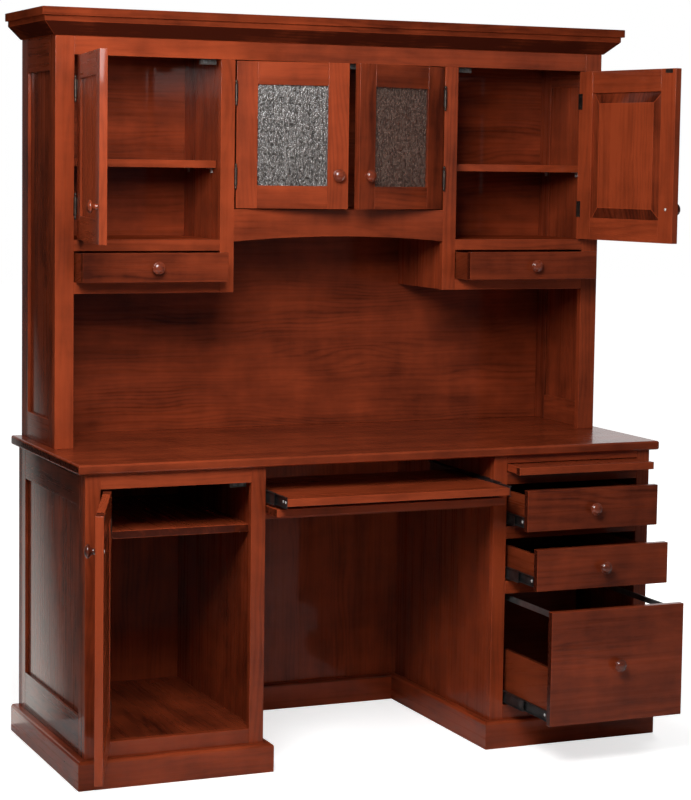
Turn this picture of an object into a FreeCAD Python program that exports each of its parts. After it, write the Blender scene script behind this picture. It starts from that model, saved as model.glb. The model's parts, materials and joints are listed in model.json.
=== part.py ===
import FreeCAD, Part
import math
import os

from FreeCAD import Vector

# A cherry computer desk: two pedestals with a kneehole, and a hutch on top.
# Millimetres. X runs to the right and Z up, Y to the back. The origin is on the floor, in the
# middle of the back. The doors stand open and the drawers and the tray stand out, as photographed.

# Stock
BOARD = 19.0
THIN_PANEL = 6.0
DRAWER_SIDE = 12.0
GROOVE = 9.0
REVEAL = 2.0
RUNNING_GAP = 0.3

# Base cabinet
BASE_W = 1530.0
BASE_D = 590.0
DESK_H = 775.0
TOP_T = 23.0
TOP_OVERHANG = 20.5
TOP_FRONT_OVERHANG = 14.0
TOP_EDGE_R = 5.0
KNEE_W = 622.0
KNEE_BACK_T = 14.0
BASE_STILE = 37.0
BASE_END = {"front": 32.0, "back": 62.0, "top": 82.0, "bottom": 166.0}
PLINTH_H = 70.0
PLINTH_T = 21.0
PLINTH_EDGE_R = 8.0
FLOOR_RAIL_LOW = 57.0
CPU_OPENING_Z = (108.0, 714.0)
CPU_SHELF_Z = 584.0
CPU_SHELF_SETBACK = 41.0
REST = (12.0, 14.0, 1.5)
REST_INSET = 0.12

# Right pedestal, openings from the top down
SLIDE_OPENING_Z = (708.0, 732.0)
UPPER_OPENING_Z = (570.0, 678.0)
MIDDLE_OPENING_Z = (429.0, 538.0)
FILE_OPENING_Z = (107.0, 396.0)

# How far each piece stands out in the photographed pose
UPPER_OUT = 110.0
MIDDLE_OUT = 166.0
FILE_OUT = 248.0
BOARD_OUT = 58.0
TRAY_OUT = 133.0
HUTCH_LEFT_OUT = 69.0
HUTCH_RIGHT_OUT = 86.0
LEFT_DOOR_ANGLE = 99.0
RIGHT_DOOR_ANGLE = 101.0
GLASS_LEFT_ANGLE = 12.0
GLASS_RIGHT_ANGLE = 17.0
CPU_DOOR_ANGLE = 110.0

# Drawers and slides
DRAWER_L = 500.0
UPPER_BOX_H = 82.0
MIDDLE_BOX_H = 82.0
FILE_BOX_H = 135.0
FILE_BACK_TOP = 385.0
FILE_RAIL = (4.0, 14.0)
BOX_LIFT = 6.0
BOTTOM_LIFT = 10.0
SLIDE_T = 12.7
SLIDE_SHEET = 1.2
SLIDE_HALF_H = 16.0
SLIDE_LIFT = 21.0
PACKER_HALF_H = 24.0
BOARD_DEPTH = 400.0
BOARD_STRIP_OVER = 5.0
GUIDE_LEDGE = 20.0

# Keyboard tray and drop front
TRAY_Z = 668.0
TRAY_D = 350.0
FLAP_TOP = 656.0
FLAP_H = 86.0
FLAP_SIDE_GAP = 3.0
FLAP_RAIL_H = 36.0
FLAP_HINGES_X = (-220.0, 220.0)
FLAP_RAIL_DROP = 1.0
FLAP_KNUCKLE_R = 3.0
FLAP_LEAF = (50.0, 14.0)

# Hutch
HUTCH_W = 1516.0
HUTCH_D = 305.0
HUTCH_TOP = 1786.0
HUTCH_STILE = 48.0
INNER_STILE = 37.5
CENTRE_W = 585.0
HUTCH_END = {"front": 33.0, "back": 59.0, "top": 84.0, "bottom": 68.0}
HUTCH_RAIL_LOW = 1740.0
SIDE_DOOR_LOW = 1290.0
HUTCH_DRAWER_Z = (1186.0, 1262.0)
SIDE_LOW = 1157.0
CENTRE_DOOR_LOW = 1367.0
ARCH_END = 1285.0
ARCH_RISE = 13.0
SHELF_Z = 1469.0
SHELF_SETBACK = 35.0
HUTCH_DRAWER_L = 230.0
HUTCH_BOX_H = 71.0

# Crown, measured outwards from the face of the hutch and up from its top
CROWN_FOOT = 4.0
CROWN_SLOPE_TOP = (37.0, 32.0)
CROWN_FILLET_TOP = 45.0
CROWN_PROJECTION = 44.5
CROWN_H = 65.0

# Doors
DOOR_STILE = 54.0
DOOR_RAIL = 58.0
PANEL_RECESS = 6.0
BEVEL_W = 28.0
FIELD_RECESS = 0.5
GLASS_T = 4.0
GLASS_RECESS = 8.0
REBATE = 8.0
HINGE_INSET = 80.0
HINGE_GAP = 3.0
HINGE_LEAF_T = 1.2
HINGE_LEAF_H = 42.0
HINGE_WRAP = 14.0
KNUCKLE_R = 4.0
CATCH = (42.0, 16.0, 13.0)
STRIKE = (26.0, 1.0, 10.0)

# Turned knob: radii, and heights above the face it is screwed to
KNOB_STEM_R = 7.5
KNOB_STEM_H = 10.0
KNOB_RIM_R = 16.0
KNOB_RIM_H = 19.0
KNOB_TOP_R = 11.0
KNOB_H = 25.0

# Planes that the sizes above give
CASE_X = BASE_W / 2
CASE_H = DESK_H - TOP_T
KNEE_X = KNEE_W / 2
END_IN = CASE_X - BOARD
GABLE_IN = KNEE_X + BOARD
OPEN_IN = KNEE_X + BASE_STILE
OPEN_OUT = CASE_X - BASE_STILE
BASE_FRONT = -BASE_D
FRAME_BACK = BASE_FRONT + BOARD
HUTCH_X = HUTCH_W / 2
HUTCH_IN = HUTCH_X - BOARD
HUTCH_FRONT = -HUTCH_D
HUTCH_FRAME_BACK = HUTCH_FRONT + BOARD
CENTRE_X = CENTRE_W / 2
SIDE_IN = CENTRE_X + INNER_STILE
SIDE_OUT = HUTCH_X - HUTCH_STILE
PARTITION = (CENTRE_X + 10.0, CENTRE_X + 10.0 + BOARD)

NODES = {}


def add(node, *solids):
    """Put solids into a named node."""
    NODES.setdefault(node, []).extend(solids)


def block(x, y, z):
    """A board between two values on each axis, given in either order."""
    low = [min(span) for span in (x, y, z)]
    size = [abs(span[1] - span[0]) for span in (x, y, z)]
    return Part.makeBox(*size, Vector(*low))


def mirrored(shape):
    """The same piece on the other side of the desk."""
    return shape.mirror(Vector(0, 0, 0), Vector(1, 0, 0))


def sided(side, low, high):
    """A span of X on the right (1) or left (-1) of the desk."""
    return (side * low, side * high)


def polygon(points):
    """A flat face with straight edges."""
    return Part.Face(Part.makePolygon(points + points[:1]))


def fused(first, *others):
    """One solid from touching or overlapping solids."""
    return first.fuse(list(others)).removeSplitter()


def grooved_frame(members, panel):
    """Frame members with the groove that their panel sits in."""
    return [member.cut(panel) for member in members]


def end_frame(side, x_out, y_span, z_span, widths):
    """Stiles and rails of one end of a cabinet, and the flat panel in their grooves."""
    front, back = y_span
    low, high = z_span
    x = sided(side, x_out - BOARD, x_out)
    inner_y = (front + widths["front"], back - widths["back"])
    inner_z = (low + widths["bottom"], high - widths["top"])
    members = [
        block(x, (front, inner_y[0]), z_span),
        block(x, (inner_y[1], back), z_span),
        block(x, inner_y, (inner_z[1], high)),
        block(x, inner_y, (low, inner_z[0])),
    ]
    panel_x = sided(side, x_out - BOARD + 5.0, x_out - BOARD + 5.0 + THIN_PANEL)
    panel = block(
        panel_x,
        (inner_y[0] - GROOVE, inner_y[1] + GROOVE),
        (inner_z[0] - GROOVE, inner_z[1] + GROOVE),
    )
    return grooved_frame(members, panel), panel


def mitred_moulding(corners, outline):
    """Lengths of one moulding along corner points in XY, mitred where they meet.

    The outline is a function of a base point and an outward direction, and gives a face. The
    moulding stands on the left of the way that the corners run."""
    ways = []
    for start, end in zip(corners, corners[1:]):
        ways.append((end - start).normalize())
    outs = [Vector(-way.y, way.x, 0) for way in ways]
    lengths = []
    for i, way in enumerate(ways):
        start, end = corners[i], corners[i + 1]
        face = outline(start, outs[i])
        box = face.BoundBox
        reach = max(box.XLength, box.YLength) + 1
        bar = outline(start - way * reach, outs[i]).extrude(way * (end.distanceToPoint(start) + 2 * reach))
        before = outs[i] if i == 0 else (outs[i - 1] + outs[i]) / (1 + outs[i - 1].dot(outs[i]))
        after = outs[i] if i == len(ways) - 1 else (outs[i] + outs[i + 1]) / (1 + outs[i].dot(outs[i + 1]))
        plan = [
            start - before * reach,
            end - after * reach,
            end + after * reach,
            start + before * reach,
        ]
        floor = box.ZMin - 1
        plan = [Vector(point.x, point.y, floor) for point in plan]
        wedge = polygon(plan).extrude(Vector(0, 0, box.ZLength + 2))
        lengths.append(bar.common(wedge).Solids[0])
    return lengths


def plinth_outline(base, out):
    """Plinth board with a rounded top edge."""
    turn = PLINTH_EDGE_R * (1 - math.sqrt(0.5))
    up = Vector(0, 0, 1)
    face_top = base + out * PLINTH_T + up * (PLINTH_H - PLINTH_EDGE_R)
    round_mid = base + out * (PLINTH_T - turn) + up * (PLINTH_H - turn)
    round_end = base + out * (PLINTH_T - PLINTH_EDGE_R) + up * PLINTH_H
    edges = [
        Part.makeLine(base, base + out * PLINTH_T),
        Part.makeLine(base + out * PLINTH_T, face_top),
        Part.Arc(face_top, round_mid, round_end).toShape(),
        Part.makeLine(round_end, base + up * PLINTH_H),
        Part.makeLine(base + up * PLINTH_H, base),
    ]
    return Part.Face(Part.Wire(edges))


def crown_outline(base, out):
    """Crown: a small foot, a flat slope, a fillet and a square cap."""
    slope_out, slope_up = CROWN_SLOPE_TOP
    profile = [
        (-BOARD, 0),
        (CROWN_FOOT, 0),
        (slope_out, slope_up),
        (slope_out, CROWN_FILLET_TOP),
        (CROWN_PROJECTION, CROWN_FILLET_TOP),
        (CROWN_PROJECTION, CROWN_H),
        (-BOARD, CROWN_H),
    ]
    return polygon([base + out * o + Vector(0, 0, up) for o, up in profile])


def knob(x, face, z):
    """Turned wooden knob whose foot is on a face that looks to the front."""
    profile = [
        Vector(0, 0, 0),
        Vector(KNOB_STEM_R, 0, 0),
        Vector(KNOB_STEM_R, 0, KNOB_STEM_H),
        Vector(KNOB_RIM_R, 0, KNOB_RIM_H),
        Vector(KNOB_TOP_R, 0, KNOB_H),
        Vector(0, 0, KNOB_H),
    ]
    turned = polygon(profile).revolve(Vector(0, 0, 0), Vector(0, 0, 1), 360)
    turned.rotate(Vector(0, 0, 0), Vector(1, 0, 0), 90)
    turned.translate(Vector(x, face, z))
    return turned


def raised_panel(x, y_front, z, inner_x, inner_z, y_field):
    """Flat in front, with a bevelled field on the inner side."""
    y_tongue = y_front + THIN_PANEL

    def ring(inset, y):
        return [
            Vector(inner_x[0] + inset, y, inner_z[0] + inset),
            Vector(inner_x[1] - inset, y, inner_z[0] + inset),
            Vector(inner_x[1] - inset, y, inner_z[1] - inset),
            Vector(inner_x[0] + inset, y, inner_z[1] - inset),
        ]

    foot = ring(RUNNING_GAP, y_tongue)
    crest = ring(BEVEL_W, y_field)
    faces = [polygon(foot), polygon(crest)]
    for i in range(4):
        j = (i + 1) % 4
        faces.append(polygon([foot[i], foot[j], crest[j], crest[i]]))
    field = Part.makeSolid(Part.makeShell(faces))
    return fused(block(x, (y_front, y_tongue), z), field)


def hinge_leaves():
    """Both leaves of a lift-off wrapped hinge with its axis along Z through the origin, door closed.

    The stile's edge is at -x and the door's edge at +x, and both faces look to -y. The door's
    knuckle stands on the stile's."""
    half_gap = HINGE_GAP / 2
    face = KNUCKLE_R + RUNNING_GAP
    inner = face + BOARD
    half_h = HINGE_LEAF_H / 2
    leaf_z = (-half_h, half_h)
    low_z = (-half_h, -RUNNING_GAP / 2)
    high_z = (RUNNING_GAP / 2, half_h)
    knuckle_h = low_z[1] - low_z[0]
    stile_x = (-half_gap, -half_gap + HINGE_LEAF_T)
    door_x = (half_gap - HINGE_LEAF_T, half_gap)
    frame_leaf = fused(
        Part.makeCylinder(KNUCKLE_R, knuckle_h, Vector(0, 0, low_z[0])),
        block(stile_x, (0, face), low_z),
        block(stile_x, (face, inner - 2), leaf_z),
    )
    door_leaf = fused(
        Part.makeCylinder(KNUCKLE_R, knuckle_h, Vector(0, 0, high_z[0])),
        block(door_x, (0, face), high_z),
        block(door_x, (face, inner + HINGE_LEAF_T), leaf_z),
        block((door_x[0], half_gap + HINGE_WRAP), (inner, inner + HINGE_LEAF_T), leaf_z),
    )
    return frame_leaf, door_leaf


def moved(shape, x, y, z):
    """A copy of a shape, shifted."""
    copy = shape.copy()
    copy.translate(Vector(x, y, z))
    return copy


def hinged_door(name, x, z, face, angle, knob_z, glazed=False, right=False):
    """A framed door hung on the left edge of its opening, swung open, and mirrored for the right.

    x and z are the opening's spans. The catch above the free edge stays with the cabinet."""
    door_x = (x[0] + HINGE_GAP, x[1] - REVEAL)
    door_z = (z[0] + REVEAL, z[1] - REVEAL)
    y = (face, face + BOARD)
    inner_x = (door_x[0] + DOOR_STILE, door_x[1] - DOOR_STILE)
    inner_z = (door_z[0] + DOOR_RAIL, door_z[1] - DOOR_RAIL)
    members = [
        block((door_x[0], inner_x[0]), y, door_z),
        block((inner_x[1], door_x[1]), y, door_z),
        block(inner_x, y, (inner_z[1], door_z[1])),
        block(inner_x, y, (door_z[0], inner_z[0])),
    ]
    if glazed:
        pane_x = (inner_x[0] - REBATE, inner_x[1] + REBATE)
        pane_z = (inner_z[0] - REBATE, inner_z[1] + REBATE)
        pane_y = (face + GLASS_RECESS, face + GLASS_RECESS + GLASS_T)
        frame = grooved_frame(members, block(pane_x, (pane_y[0], y[1]), pane_z))
        fill = block(pane_x, pane_y, pane_z)
        stop_y = (pane_y[1], y[1])
        frame += [
            block((pane_x[0], inner_x[0]), stop_y, pane_z),
            block((inner_x[1], pane_x[1]), stop_y, pane_z),
            block(inner_x, stop_y, (pane_z[0], inner_z[0])),
            block(inner_x, stop_y, (inner_z[1], pane_z[1])),
        ]
    else:
        panel_x = (inner_x[0] - GROOVE, inner_x[1] + GROOVE)
        panel_z = (inner_z[0] - GROOVE, inner_z[1] + GROOVE)
        front = face + PANEL_RECESS
        fill = raised_panel(panel_x, front, panel_z, inner_x, inner_z, y[1] - FIELD_RECESS)
        frame = grooved_frame(members, block(panel_x, (front, front + THIN_PANEL), panel_z))
    frame.append(knob(door_x[1] - DOOR_STILE / 2, face, knob_z))

    pin_x = x[0] + HINGE_GAP / 2
    pin_y = face - KNUCKLE_R - RUNNING_GAP
    frame_leaf, door_leaf = hinge_leaves()
    heights = (door_z[0] + HINGE_INSET, door_z[1] - HINGE_INSET)
    hardware = [moved(door_leaf, pin_x, pin_y, height) for height in heights]
    fixed = [moved(frame_leaf, pin_x, pin_y, height) for height in heights]

    catch_x = (door_x[1] - 4.0 - CATCH[0], door_x[1] - 4.0)
    strike_mid = sum(catch_x) / 2
    strike_top = door_z[1] - 1.5
    hardware.append(
        block(
            (strike_mid - STRIKE[0] / 2, strike_mid + STRIKE[0] / 2),
            (y[1], y[1] + STRIKE[1]),
            (strike_top - STRIKE[2], strike_top),
        )
    )
    catch = fused(
        block(catch_x, (y[1], y[1] + CATCH[1]), (z[1], z[1] + CATCH[2])),
        block(catch_x, (y[1] + STRIKE[1] + 0.5, y[1] + CATCH[1]), (z[1] - CATCH[2], z[1])),
    )

    pieces = {"frame": frame, "glass" if glazed else "panel": [fill], "hardware": hardware}
    for part_name, solids in pieces.items():
        for solid in solids:
            solid.rotate(Vector(pin_x, pin_y, 0), Vector(0, 0, 1), -angle)
            add(f"{name}_{part_name}", mirrored(solid) if right else solid)
    add("hinge_frame_leaves", *[mirrored(leaf) if right else leaf for leaf in fixed])
    add("door_catches", mirrored(catch) if right else catch)


def slide_member(kind, wall, way, y, middle_z):
    """One member of a drawer slide, as a folded steel channel along Y.

    wall is the face that the slide is screwed to, and way points from there to the drawer."""
    sheet = SLIDE_SHEET
    step = sheet + RUNNING_GAP
    high = SLIDE_HALF_H
    if kind == "cabinet":
        back, lip, web = 0.0, 9.5, (0.0, sheet)
    elif kind == "middle":
        high -= step
        back, lip, web = 2.0, 10.4, (5.2, 5.2 + sheet)
    else:
        high -= 2 * step
        back, lip, web = 7.2, SLIDE_T, (SLIDE_T - sheet, SLIDE_T)
    low = high - sheet
    half = [(web[1], 0), (web[1], low), (lip, low), (lip, high), (back, high), (back, low), (web[0], low)]
    if kind == "cabinet":
        half = [(web[1], 0), (web[1], low), (lip, low), (lip, high), (back, high)]
    elif kind == "drawer":
        half = [(lip, 0), (lip, high), (back, high), (back, low), (web[0], low)]
    outline = half[1:] + [(u, -v) for u, v in reversed(half[1:])]
    points = [Vector(wall + way * u, y[0], middle_z + v) for u, v in outline]
    return polygon(points).extrude(Vector(0, y[1] - y[0], 0))


def drawer_box(x, y, z, back_top=None, bottom_lift=BOTTOM_LIFT):
    """Sides, sub-front, back and bottom of a drawer, with the bottom in grooves."""
    side_in = (x[0] + DRAWER_SIDE, x[1] - DRAWER_SIDE)
    y_in = (y[0] + DRAWER_SIDE, y[1] - DRAWER_SIDE)
    walls = [
        block((x[0], side_in[0]), y, z),
        block((side_in[1], x[1]), y, z),
        block(side_in, (y[0], y_in[0]), z),
        block(side_in, (y_in[1], y[1]), (z[0], back_top or z[1])),
    ]
    sink = DRAWER_SIDE / 2
    bottom = block(
        (side_in[0] - sink, side_in[1] + sink),
        (y_in[0] - sink, y_in[1] + sink),
        (z[0] + bottom_lift, z[0] + bottom_lift + THIN_PANEL),
    )
    return grooved_frame(walls, bottom) + [bottom]


def desktop():
    """Thick top with eased edges, square at the back."""
    reach = CASE_X + TOP_OVERHANG
    slab = block((-reach, reach), (BASE_FRONT - TOP_FRONT_OVERHANG, 0), (CASE_H, DESK_H))
    eased = [edge for edge in slab.Edges if edge.BoundBox.YMin < -1 and edge.BoundBox.ZLength < 1]
    add("desktop", slab.makeFillet(TOP_EDGE_R, eased))


def base_case():
    """Ends, gables, backs, floors and plinth of the two pedestals."""
    for side in (-1, 1):
        frame, panel = end_frame(side, CASE_X, (FRAME_BACK, 0), (0, CASE_H), BASE_END)
        add("base_end_frames", *frame)
        add("end_panels", panel)
        add("pedestal_gables", block(sided(side, KNEE_X, GABLE_IN), (FRAME_BACK, 0), (0, CASE_H)))
        inside = sided(side, GABLE_IN, END_IN)
        add("base_back_panels", block(inside, (-THIN_PANEL, 0), (0, CASE_H)))
        floor_top = CPU_OPENING_Z[0] if side < 0 else FILE_OPENING_Z[0]
        add("pedestal_floors", block(inside, (FRAME_BACK, -THIN_PANEL), (floor_top - BOARD, floor_top)))
    add("base_back_panels", block((-KNEE_X, KNEE_X), (-KNEE_BACK_T, 0), (0, CASE_H)))

    right = [
        Vector(CASE_X, 0, 0),
        Vector(CASE_X, BASE_FRONT, 0),
        Vector(KNEE_X, BASE_FRONT, 0),
        Vector(KNEE_X, -KNEE_BACK_T, 0),
    ]
    lengths = mitred_moulding(right, plinth_outline)
    across = KNEE_X - PLINTH_T
    back = [Vector(across, -KNEE_BACK_T, 0), Vector(-across, -KNEE_BACK_T, 0)]
    add("plinth", *lengths, *[mirrored(length) for length in lengths])
    add("plinth", *mitred_moulding(back, plinth_outline))


def base_face_frame():
    """Stiles and rails of the base, and the rail that the drop front hangs on."""
    y = (BASE_FRONT, FRAME_BACK)
    for side in (-1, 1):
        for span in ((KNEE_X, OPEN_IN), (OPEN_OUT, CASE_X)):
            add("base_face_frame", block(sided(side, *span), y, (0, CASE_H)))
    left = sided(-1, OPEN_IN, OPEN_OUT)
    for z in ((FLOOR_RAIL_LOW, CPU_OPENING_Z[0]), (CPU_OPENING_Z[1], CASE_H)):
        add("base_face_frame", block(left, y, z))
    openings = (FILE_OPENING_Z, MIDDLE_OPENING_Z, UPPER_OPENING_Z, SLIDE_OPENING_Z)
    lows = [FLOOR_RAIL_LOW] + [opening[1] for opening in openings]
    highs = [opening[0] for opening in openings] + [CASE_H]
    for z in zip(lows, highs):
        add("base_face_frame", block((OPEN_IN, OPEN_OUT), y, z))
    rail_top = FLAP_TOP - FLAP_RAIL_DROP
    rail_y = (FRAME_BACK + 0.5, FRAME_BACK + 0.5 + BOARD)
    add("base_face_frame", block((-KNEE_X, KNEE_X), rail_y, (rail_top - FLAP_RAIL_H, rail_top)))


def shelves():
    """Loose shelves in the cupboards, each on four small angle rests."""
    gap = 1.0
    cpu_y = (FRAME_BACK + CPU_SHELF_SETBACK, -THIN_PANEL - gap)
    hutch_y = (HUTCH_FRAME_BACK + SHELF_SETBACK, -THIN_PANEL - gap)
    cupboards = [
        ((-END_IN, -GABLE_IN), cpu_y, CPU_SHELF_Z),
        ((-HUTCH_IN, -PARTITION[1]), hutch_y, SHELF_Z),
        ((PARTITION[1], HUTCH_IN), hutch_y, SHELF_Z),
    ]
    arm, width, sheet = REST
    for x, y, z in cupboards:
        add("shelves", block((x[0] + gap, x[1] - gap), y, (z, z + BOARD)))
        inset = REST_INSET * (y[1] - y[0])
        for start in (y[0] + inset, y[1] - inset - width):
            for wall, way in ((x[0], 1), (x[1], -1)):
                rest_y = (start, start + width)
                rest = fused(
                    block((wall, wall + way * sheet), rest_y, (z - arm, z)),
                    block((wall, wall + way * arm), rest_y, (z - sheet, z)),
                )
                add("shelf_rests", rest)


def three_part_slide(body, x_walls, y_closed, length, out, middle_z):
    """A pair of slides: cabinet members, middle members half way out, and drawer members."""
    for wall, way in ((x_walls[0], 1), (x_walls[1], -1)):
        for kind, node, shift in (
            ("cabinet", "slide_cabinet_members", 0),
            ("middle", f"{body}_slide_middles", out / 2),
            ("drawer", f"{body}_slide_members", out),
        ):
            y = (y_closed - shift, y_closed - shift + length)
            add(node, slide_member(kind, wall, way, y, middle_z))


def pedestal_drawers():
    """Two box drawers and a file drawer on slides, with the packers that carry them."""
    drawers = (
        ("upper_drawer", UPPER_OPENING_Z, UPPER_OUT, UPPER_BOX_H),
        ("middle_drawer", MIDDLE_OPENING_Z, MIDDLE_OUT, MIDDLE_BOX_H),
        ("file_drawer", FILE_OPENING_Z, FILE_OUT, FILE_BOX_H),
    )
    front_x = (OPEN_IN + REVEAL, OPEN_OUT - REVEAL)
    box_x = (OPEN_IN + SLIDE_T, OPEN_OUT - SLIDE_T)
    for name, opening, out, box_h in drawers:
        face = BASE_FRONT - out
        front_z = (opening[0] + REVEAL, opening[1] - REVEAL)
        add(f"{name}_front", block(front_x, (face, face + BOARD), front_z))
        add(f"{name}_front", knob(sum(front_x) / 2, face, sum(front_z) / 2))
        box_y = (face + BOARD, face + BOARD + DRAWER_L)
        box_z = (opening[0] + BOX_LIFT, opening[0] + BOX_LIFT + box_h)
        back_top = FILE_BACK_TOP if name == "file_drawer" else None
        add(f"{name}_box", *drawer_box(box_x, box_y, box_z, back_top))
        middle_z = opening[0] + SLIDE_LIFT
        three_part_slide(name, (OPEN_IN, OPEN_OUT), FRAME_BACK + 2, DRAWER_L - 4, out, middle_z)
        for span in ((GABLE_IN, OPEN_IN), (OPEN_OUT, END_IN)):
            packer_z = (middle_z - SLIDE_HALF_H, middle_z + PACKER_HALF_H)
            add("wooden_runners", block(span, (FRAME_BACK, FRAME_BACK + DRAWER_L), packer_z))
    hanging_rails(box_x, BASE_FRONT - FILE_OUT + BOARD)


def hanging_rails(box_x, y_front):
    """Flat bars for hanging files, between the file drawer's front and its tall back."""
    thick, high = FILE_RAIL
    y = (y_front, y_front + DRAWER_L - DRAWER_SIDE)
    for start in (box_x[0] + DRAWER_SIDE, box_x[1] - DRAWER_SIDE - thick):
        add("file_rails", block((start, start + thick), y, (FILE_BACK_TOP - high, FILE_BACK_TOP)))


def writing_board():
    """Pull-out board whose front strip is wider than its opening, on wooden guides."""
    gap = 0.5
    z = (SLIDE_OPENING_Z[0] + 3, SLIDE_OPENING_Z[0] + 3 + BOARD)
    strip_front = BASE_FRONT - BOARD_OUT - BOARD
    board_y = (strip_front + BOARD, strip_front + BOARD + BOARD_DEPTH)
    strip_x = (OPEN_IN - BOARD_STRIP_OVER, OPEN_OUT + BOARD_STRIP_OVER)
    add("writing_board", block((OPEN_IN + REVEAL, OPEN_OUT - REVEAL), board_y, z))
    add("writing_board", block(strip_x, (strip_front, strip_front + BOARD), z))
    guide_y = (FRAME_BACK, FRAME_BACK + BOARD_DEPTH)
    ledge_z = (z[0] - gap - BOARD, z[0] - gap)
    for wall, edge, way in ((GABLE_IN, OPEN_IN, 1), (END_IN, OPEN_OUT, -1)):
        cheek = block((wall, edge), guide_y, (ledge_z[0], CASE_H))
        ledge = block((edge, edge + way * GUIDE_LEDGE), guide_y, ledge_z)
        add("wooden_runners", fused(cheek, ledge))


def keyboard_tray():
    """Tray on slides that are screwed to the kneehole's walls."""
    half = KNEE_X - SLIDE_T
    closed = FRAME_BACK + 4
    y = (closed - TRAY_OUT, closed - TRAY_OUT + TRAY_D)
    tray = block((-half, half), y, (TRAY_Z, TRAY_Z + BOARD))
    add("keyboard_tray", tray)
    three_part_slide("tray", (-KNEE_X, KNEE_X), closed, TRAY_D, TRAY_OUT, TRAY_Z + BOARD / 2)


def drop_front():
    """Drop front lying open below the tray, on two butt hinges at its inner edge."""
    half = KNEE_X - FLAP_SIDE_GAP
    add("drop_front", block((-half, half), (FRAME_BACK - FLAP_H, FRAME_BACK), (FLAP_TOP - BOARD, FLAP_TOP)))
    radius = FLAP_KNUCKLE_R
    leaf_l, leaf_w = FLAP_LEAF
    axis_y = FRAME_BACK + radius + RUNNING_GAP
    axis_z = FLAP_TOP + radius + RUNNING_GAP
    along = Vector(1, 0, 0)
    rail_top = FLAP_TOP - FLAP_RAIL_DROP
    for x in FLAP_HINGES_X:
        span = (x - leaf_l / 2, x + leaf_l / 2)
        rail_x = (span[0], x - RUNNING_GAP / 2)
        flap_x = (x + RUNNING_GAP / 2, span[1])
        knuckle_l = rail_x[1] - rail_x[0]
        rail_leaf = fused(
            Part.makeCylinder(radius, knuckle_l, Vector(rail_x[0], axis_y, axis_z), along),
            block(rail_x, (axis_y, axis_y + HINGE_LEAF_T), (rail_top, axis_z)),
            block(span, (axis_y, axis_y + leaf_w), (rail_top, rail_top + HINGE_LEAF_T)),
        )
        leaf_z = (FLAP_TOP, FLAP_TOP + HINGE_LEAF_T)
        flap_leaf = fused(
            Part.makeCylinder(radius, knuckle_l, Vector(flap_x[0], axis_y, axis_z), along),
            block(flap_x, (FRAME_BACK, axis_y), leaf_z),
            block(span, (FRAME_BACK - leaf_w, FRAME_BACK), leaf_z),
        )
        add("hinge_frame_leaves", rail_leaf)
        add("drop_front_hardware", flap_leaf)


def hutch_case():
    """Ends, back, top, partitions and decks of the hutch."""
    for side in (-1, 1):
        frame, panel = end_frame(side, HUTCH_X, (HUTCH_FRAME_BACK, 0), (DESK_H, HUTCH_TOP), HUTCH_END)
        add("hutch_end_frames", *frame)
        add("end_panels", panel)
        y = (HUTCH_FRAME_BACK, -THIN_PANEL)
        add("hutch_partitions", block(sided(side, *PARTITION), y, (SIDE_LOW, HUTCH_TOP - BOARD)))
        bay = sided(side, PARTITION[1], HUTCH_IN)
        for top in (SIDE_DOOR_LOW, HUTCH_DRAWER_Z[0]):
            add("hutch_decks", block(bay, y, (top - BOARD, top)))
    centre_x = (-PARTITION[0], PARTITION[0])
    add("hutch_decks", block(centre_x, y, (CENTRE_DOOR_LOW - BOARD, CENTRE_DOOR_LOW)))
    add("hutch_decks", block((-HUTCH_IN, HUTCH_IN), y, (HUTCH_TOP - BOARD, HUTCH_TOP)))
    add("hutch_back", block((-HUTCH_IN, HUTCH_IN), (-THIN_PANEL, 0), (DESK_H, HUTCH_TOP)))


def hutch_front():
    """Face frame, arched rail and crown of the hutch."""
    y = (HUTCH_FRONT, HUTCH_FRAME_BACK)
    add("hutch_face_frame", block((-SIDE_OUT, SIDE_OUT), y, (HUTCH_RAIL_LOW, HUTCH_TOP)))
    for side in (-1, 1):
        add("hutch_face_frame", block(sided(side, SIDE_OUT, HUTCH_X), y, (DESK_H, HUTCH_TOP)))
        add("hutch_face_frame", block(sided(side, CENTRE_X, SIDE_IN), y, (SIDE_LOW, HUTCH_RAIL_LOW)))
        bay = sided(side, SIDE_IN, SIDE_OUT)
        for z in ((HUTCH_DRAWER_Z[1], SIDE_DOOR_LOW), (SIDE_LOW, HUTCH_DRAWER_Z[0])):
            add("hutch_face_frame", block(bay, y, z))
    low_left = Vector(-CENTRE_X, HUTCH_FRONT, ARCH_END)
    low_right = Vector(CENTRE_X, HUTCH_FRONT, ARCH_END)
    top_right = Vector(CENTRE_X, HUTCH_FRONT, CENTRE_DOOR_LOW)
    top_left = Vector(-CENTRE_X, HUTCH_FRONT, CENTRE_DOOR_LOW)
    crest = Vector(0, HUTCH_FRONT, ARCH_END + ARCH_RISE)
    edges = [
        Part.Arc(low_left, crest, low_right).toShape(),
        Part.makeLine(low_right, top_right),
        Part.makeLine(top_right, top_left),
        Part.makeLine(top_left, low_left),
    ]
    add("arched_rail", Part.Face(Part.Wire(edges)).extrude(Vector(0, BOARD, 0)))
    corners = [
        Vector(HUTCH_X, 0, HUTCH_TOP),
        Vector(HUTCH_X, HUTCH_FRONT, HUTCH_TOP),
        Vector(-HUTCH_X, HUTCH_FRONT, HUTCH_TOP),
        Vector(-HUTCH_X, 0, HUTCH_TOP),
    ]
    add("crown_moulding", *mitred_moulding(corners, crown_outline))


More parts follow.
